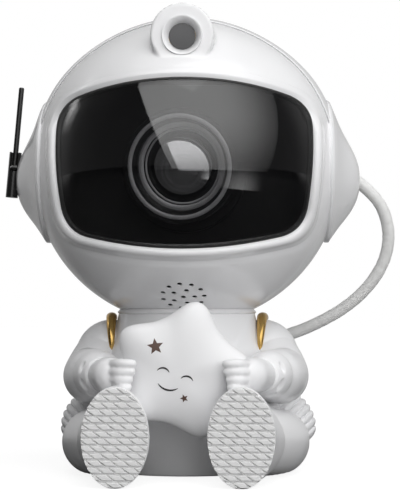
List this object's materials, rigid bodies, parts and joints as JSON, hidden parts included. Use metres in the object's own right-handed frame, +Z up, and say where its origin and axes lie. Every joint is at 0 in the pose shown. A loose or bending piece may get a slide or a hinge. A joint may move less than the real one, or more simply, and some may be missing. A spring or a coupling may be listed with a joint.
{
  "type": "planetarium projector",
  "caption": "Tabletop star and nebula projector shaped as a seated figure in a space suit, with a smoked visor, a folding aerial, a side hose and a star in its gloves.",
  "frame": {"origin": "centre of the underside of the base pad, on the surface that the projector stands on and on the axis that its head turns about", "axes": "+Z up, the visor, the star and the soles face -Y, +X to the right as seen from the front"},
  "size_m": [0.1546, 0.136, 0.1765],
  "materials": {
    "white_shell": "glossy injection-moulded white plastic",
    "white_suit": "semi-gloss white plastic",
    "white_sole": "matt white plastic with moulded tread",
    "smoked_visor": "polished smoked plastic, see-through",
    "gasket": "matt black rubber",
    "gilt": "polished gold-coloured metal",
    "black_gloss": "glossy black plastic",
    "black_matte": "matt black plastic",
    "dark_window": "dark grey glass",
    "clear_glass": "polished glass lens",
    "pattern_glass": "rippled glass",
    "bright_ring": "bright plated ring",
    "steel": "bare steel",
    "brass_body": "turned brass",
    "aluminium_fins": "bare aluminium",
    "nylon": "natural nylon",
    "circuit": "green circuit board",
    "rubber_pad": "matt black rubber",
    "button_grey": "light grey plastic",
    "hose": "soft light grey plastic with a fine wrinkled surface"
  },
  "bodies": {
    "body": {"air_hose": "hose", "backpack_shell": "white_suit", "base_pad": "rubber_pad", "base_plate": "white_suit", "base_screws": "steel", "body_front_shell": "white_suit", "body_rear_shell": "white_suit", "boot_left": "white_suit", "boot_right": "white_suit", "button_board": "circuit", "glove_left": "white_suit", "glove_right": "white_suit", "hip_bellows_left": "white_suit", "hip_bellows_right": "white_suit", "leg_left": "white_suit", "leg_right": "white_suit", "neck_socket": "nylon", "power_inlet": "steel", "shoulder_trim_left": "gilt", "shoulder_trim_right": "gilt", "sleeve_left": "white_suit", "sleeve_right": "white_suit", "sole_left": "white_sole", "sole_right": "white_sole", "star_back": "white_suit", "star_front": "white_suit"},
    "neck": {"neck_ring": "white_shell", "neck_clip": "steel", "neck_magnet": "steel"},
    "head": {"helmet_front_shell": "white_shell", "helmet_rear_shell": "white_shell", "helmet_screws": "steel", "visor": "smoked_visor", "visor_gasket": "gasket", "visor_bezel": "white_shell", "ear_cap_left": "white_shell", "ear_cap_right": "white_shell", "crown_window": "dark_window", "laser_module": "brass_body", "head_plate": "steel", "speaker": "black_matte", "antenna_base": "black_gloss", "antenna_pin": "steel", "optics_chassis": "black_matte", "led_board": "circuit", "heat_sink": "aluminium_fins", "main_board": "circuit", "lens_barrel": "black_gloss", "lens_ring_outer": "bright_ring", "lens_ring_inner": "bright_ring", "front_lens": "clear_glass", "wheel_axle": "steel", "wheel_motor": "steel"},
    "antenna": {"antenna_rod": "black_gloss"},
    "wheel": {"wheel_gear": "nylon", "nebula_disc": "pattern_glass"},
    "pinion": {"motor_pinion": "nylon"},
    "button_top": {"button_3": "button_grey"},
    "button_middle": {"button_2": "button_grey"},
    "button_bottom": {"button_1": "button_grey"}
  },
  "joints": [
    {"name": "head_swivel", "type": "hinge", "parent": "body", "child": "neck", "pos_m": [0, 0, 0.0592], "axis": [0, 0, 1], "range_deg": [-35, 35], "deforming": ["air_hose"]},
    {"name": "head_tilt", "type": "hinge", "parent": "neck", "child": "head", "pos_m": [0, 0, 0.11601], "axis": [1, 0, 0], "range_deg": [-20, 10]},
    {"name": "antenna_fold", "type": "hinge", "parent": "head", "child": "antenna", "pos_m": [-0.069, 0.0085, 0.11811], "axis": [0.9962, 0, -0.0872], "range_deg": [0, 90]},
    {"name": "wheel_spin", "type": "hinge", "parent": "head", "child": "wheel", "pos_m": [0, -0.01, 0.10001], "axis": [0, 1, 0], "continuous": true},
    {"name": "motor_spin", "type": "hinge", "parent": "head", "child": "pinion", "pos_m": [0.015, -0.01, 0.07403], "axis": [0, 1, 0], "continuous": true},
    {"name": "press_bottom", "type": "slide", "parent": "body", "child": "button_bottom", "axis": [0, -1, 0], "range_m": [0, 0.0007], "stiffness_N_per_m": 900, "springref_m": -0.0004},
    {"name": "press_middle", "type": "slide", "parent": "body", "child": "button_middle", "axis": [0, -1, 0], "range_m": [0, 0.0007], "stiffness_N_per_m": 900, "springref_m": -0.0004},
    {"name": "press_top", "type": "slide", "parent": "body", "child": "button_top", "axis": [0, -1, 0], "range_m": [0, 0.0007], "stiffness_N_per_m": 900, "springref_m": -0.0004}
  ],
  "couplings": [
    {"joint": "motor_spin", "follows": "wheel_spin", "ratio": -4}
  ]
}
